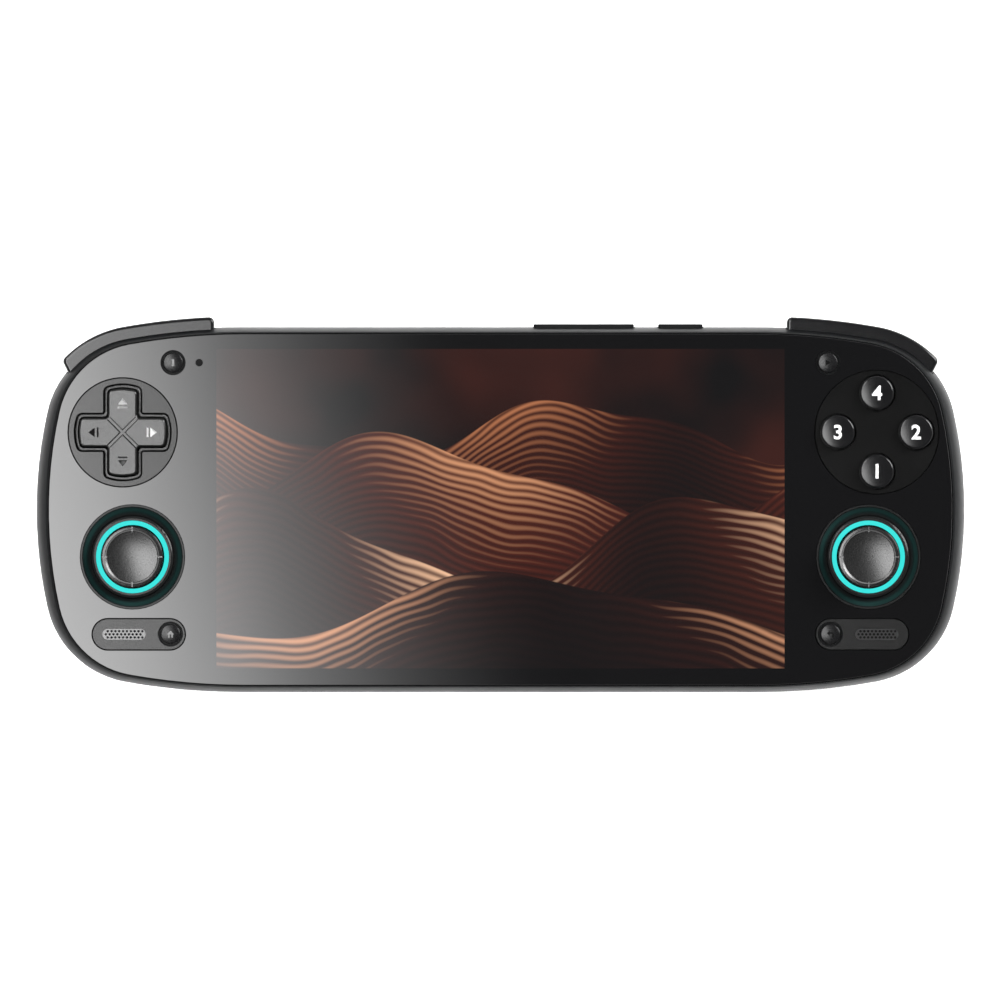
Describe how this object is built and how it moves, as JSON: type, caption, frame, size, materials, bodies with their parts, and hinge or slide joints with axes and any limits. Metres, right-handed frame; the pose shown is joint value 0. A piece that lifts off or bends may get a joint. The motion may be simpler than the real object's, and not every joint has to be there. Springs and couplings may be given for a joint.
{
  "type": "handheld game console",
  "caption": "Landscape handheld game console with a full glass front, cross pad, face buttons, lit analogue sticks, shoulder buttons, hinged triggers and side keys.",
  "frame": {"origin": "under the middle of the whole console, on the surface that its feet stand on", "axes": "+X to the right of the screen, +Y to the edge with the shoulder buttons, +Z out of the screen"},
  "size_m": [0.1992, 0.0806, 0.0246],
  "materials": {
    "frame_paint": "satin metallic",
    "rear_plastic": "fine texture",
    "front_glass": "polished, printed black behind",
    "display": "polished",
    "foam": "foam",
    "frame_alloy": "stamped",
    "steel": "plated",
    "pad_plastic": "fine texture",
    "mesh": "woven",
    "black_plastic": "moulded",
    "silicone": "matt",
    "light_ring": "frosted, lit",
    "bezel_plastic": "satin",
    "board": "solder mask",
    "foot_rubber": "matt",
    "copper": "flattened pipe",
    "fins": "bare",
    "battery_wrap": "film wrap",
    "cable": "polyimide",
    "button_plastic": "satin",
    "stick_rubber": "matt",
    "acetal": "moulded",
    "key_metal": "satin metallic",
    "status_pipe": "clear"
  },
  "bodies": {
    "console": {"front_shell": "frame_paint", "rear_shell": "rear_plastic", "front_glass": "front_glass", "display_panel": "display", "display_gasket": "foam", "middle_frame": "frame_alloy", "inner_screws": "steel", "case_screws": "steel", "dpad_surround": "pad_plastic", "face_button_surround": "pad_plastic", "grille_plates": "pad_plastic", "speaker_meshes": "mesh", "speakers": "black_plastic", "dpad_membrane": "silicone", "face_button_membrane": "silicone", "switches": "steel", "status_light_pipe": "status_pipe", "stick_bezels": "bezel_plastic", "light_rings": "light_ring", "stick_housings": "steel", "small_boards": "board", "pins": "steel", "feet": "foot_rubber", "main_board": "board", "shield_can": "steel", "heat_pipe": "copper", "fin_stack": "fins", "fan_housing": "black_plastic", "battery": "battery_wrap", "usb_socket": "steel", "headphone_jack": "black_plastic", "card_reader": "steel", "display_cable": "cable"},
    "dpad_pivot": {"dpad_pivot": "acetal"},
    "dpad": {"dpad": "button_plastic"},
    "face_button_right": {"face_button_right": "button_plastic"},
    "face_button_top": {"face_button_top": "button_plastic"},
    "face_button_left": {"face_button_left": "button_plastic"},
    "face_button_bottom": {"face_button_bottom": "button_plastic"},
    "select_button": {"select_button": "button_plastic"},
    "start_button": {"start_button": "button_plastic"},
    "home_button": {"home_button": "button_plastic"},
    "back_button": {"back_button": "button_plastic"},
    "left_stick_saddle": {"left_stick_saddle": "acetal"},
    "left_stick_yoke": {"left_stick_yoke": "acetal"},
    "left_stick": {"left_stick_shaft": "steel", "left_stick_cap": "stick_rubber"},
    "left_shoulder_button": {"left_shoulder_button": "button_plastic"},
    "left_trigger": {"left_trigger": "button_plastic", "left_trigger_spring": "steel"},
    "right_stick_saddle": {"right_stick_saddle": "acetal"},
    "right_stick_yoke": {"right_stick_yoke": "acetal"},
    "right_stick": {"right_stick_shaft": "steel", "right_stick_cap": "stick_rubber"},
    "right_shoulder_button": {"right_shoulder_button": "button_plastic"},
    "right_trigger": {"right_trigger": "button_plastic", "right_trigger_spring": "steel"},
    "volume_rocker": {"volume_rocker": "key_metal"},
    "power_button": {"power_button": "key_metal"},
    "fan_rotor": {"fan_rotor": "black_plastic"}
  },
  "joints": [
    {"name": "dpad_rock_x", "type": "hinge", "parent": "console", "child": "dpad_pivot", "pos_m": [-0.081, 0.0154, 0.0146], "axis": [1, 0, 0], "range_deg": [-3, 3], "stiffness_Nm_per_rad": 0.5, "deforming": ["dpad_membrane"]},
    {"name": "dpad_rock_y", "type": "hinge", "parent": "dpad_pivot", "child": "dpad", "pos_m": [-0.081, 0.0154, 0.0146], "axis": [0, 1, 0], "range_deg": [-3, 3], "stiffness_Nm_per_rad": 0.5},
    {"name": "face_button_right_press", "type": "slide", "parent": "console", "child": "face_button_right", "axis": [0, 0, -1], "range_m": [0, 0.0009], "stiffness_N_per_m": 1500, "deforming": ["face_button_membrane"]},
    {"name": "face_button_top_press", "type": "slide", "parent": "console", "child": "face_button_top", "axis": [0, 0, -1], "range_m": [0, 0.0009], "stiffness_N_per_m": 1500},
    {"name": "face_button_left_press", "type": "slide", "parent": "console", "child": "face_button_left", "axis": [0, 0, -1], "range_m": [0, 0.0009], "stiffness_N_per_m": 1500},
    {"name": "face_button_bottom_press", "type": "slide", "parent": "console", "child": "face_button_bottom", "axis": [0, 0, -1], "range_m": [0, 0.0009], "stiffness_N_per_m": 1500},
    {"name": "select_button_press", "type": "slide", "parent": "console", "child": "select_button", "axis": [0, 0, -1], "range_m": [0, 0.0003], "stiffness_N_per_m": 4000},
    {"name": "start_button_press", "type": "slide", "parent": "console", "child": "start_button", "axis": [0, 0, -1], "range_m": [0, 0.0003], "stiffness_N_per_m": 4000},
    {"name": "home_button_press", "type": "slide", "parent": "console", "child": "home_button", "axis": [0, 0, -1], "range_m": [0, 0.0003], "stiffness_N_per_m": 4000},
    {"name": "back_button_press", "type": "slide", "parent": "console", "child": "back_button", "axis": [0, 0, -1], "range_m": [0, 0.0003], "stiffness_N_per_m": 4000},
    {"name": "left_stick_click", "type": "slide", "parent": "console", "child": "left_stick_saddle", "axis": [0, 0, -1], "range_m": [0, 0.0004], "stiffness_N_per_m": 8000},
    {"name": "left_stick_tilt_x", "type": "hinge", "parent": "left_stick_saddle", "child": "left_stick_yoke", "pos_m": [-0.0789, -0.0113, 0.01], "axis": [1, 0, 0], "range_deg": [-15, 15], "stiffness_Nm_per_rad": 0.05},
    {"name": "left_stick_tilt_y", "type": "hinge", "parent": "left_stick_yoke", "child": "left_stick", "pos_m": [-0.0789, -0.0113, 0.01], "axis": [0, 1, 0], "range_deg": [-15, 15], "stiffness_Nm_per_rad": 0.05},
    {"name": "left_shoulder_press", "type": "hinge", "parent": "console", "child": "left_shoulder_button", "pos_m": [-0.0648, 0.03445, 0.0136], "axis": [0, 0, 1], "range_deg": [0, 1.6], "stiffness_Nm_per_rad": 1.2},
    {"name": "left_trigger_pull", "type": "hinge", "parent": "console", "child": "left_trigger", "pos_m": [-0.07628, 0.03233, 0.0078], "axis": [-0.9744, -0.225, 0], "range_deg": [0, 12], "stiffness_Nm_per_rad": 0.1},
    {"name": "right_stick_click", "type": "slide", "parent": "console", "child": "right_stick_saddle", "axis": [0, 0, -1], "range_m": [0, 0.0004], "stiffness_N_per_m": 8000},
    {"name": "right_stick_tilt_x", "type": "hinge", "parent": "right_stick_saddle", "child": "right_stick_yoke", "pos_m": [0.0789, -0.0113, 0.01], "axis": [1, 0, 0], "range_deg": [-15, 15], "stiffness_Nm_per_rad": 0.05},
    {"name": "right_stick_tilt_y", "type": "hinge", "parent": "right_stick_yoke", "child": "right_stick", "pos_m": [0.0789, -0.0113, 0.01], "axis": [0, 1, 0], "range_deg": [-15, 15], "stiffness_Nm_per_rad": 0.05},
    {"name": "right_shoulder_press", "type": "hinge", "parent": "console", "child": "right_shoulder_button", "pos_m": [0.0648, 0.03445, 0.0136], "axis": [0, 0, -1], "range_deg": [0, 1.6], "stiffness_Nm_per_rad": 1.2},
    {"name": "right_trigger_pull", "type": "hinge", "parent": "console", "child": "right_trigger", "pos_m": [0.07628, 0.03233, 0.0078], "axis": [-0.9744, 0.225, 0], "range_deg": [0, 12], "stiffness_Nm_per_rad": 0.1},
    {"name": "volume_rock", "type": "hinge", "parent": "console", "child": "volume_rocker", "pos_m": [0.01787, 0.03585, 0.014], "axis": [0, 0, 1], "range_deg": [-2.5, 2.5], "stiffness_Nm_per_rad": 0.3},
    {"name": "power_press", "type": "slide", "parent": "console", "child": "power_button", "axis": [0, -1, 0], "range_m": [0, 0.00035], "stiffness_N_per_m": 3000},
    {"name": "fan_spin", "type": "hinge", "parent": "console", "child": "fan_rotor", "pos_m": [-0.03, 0.01445, 0.0078], "axis": [0, 0, 1], "continuous": true}
  ]
}
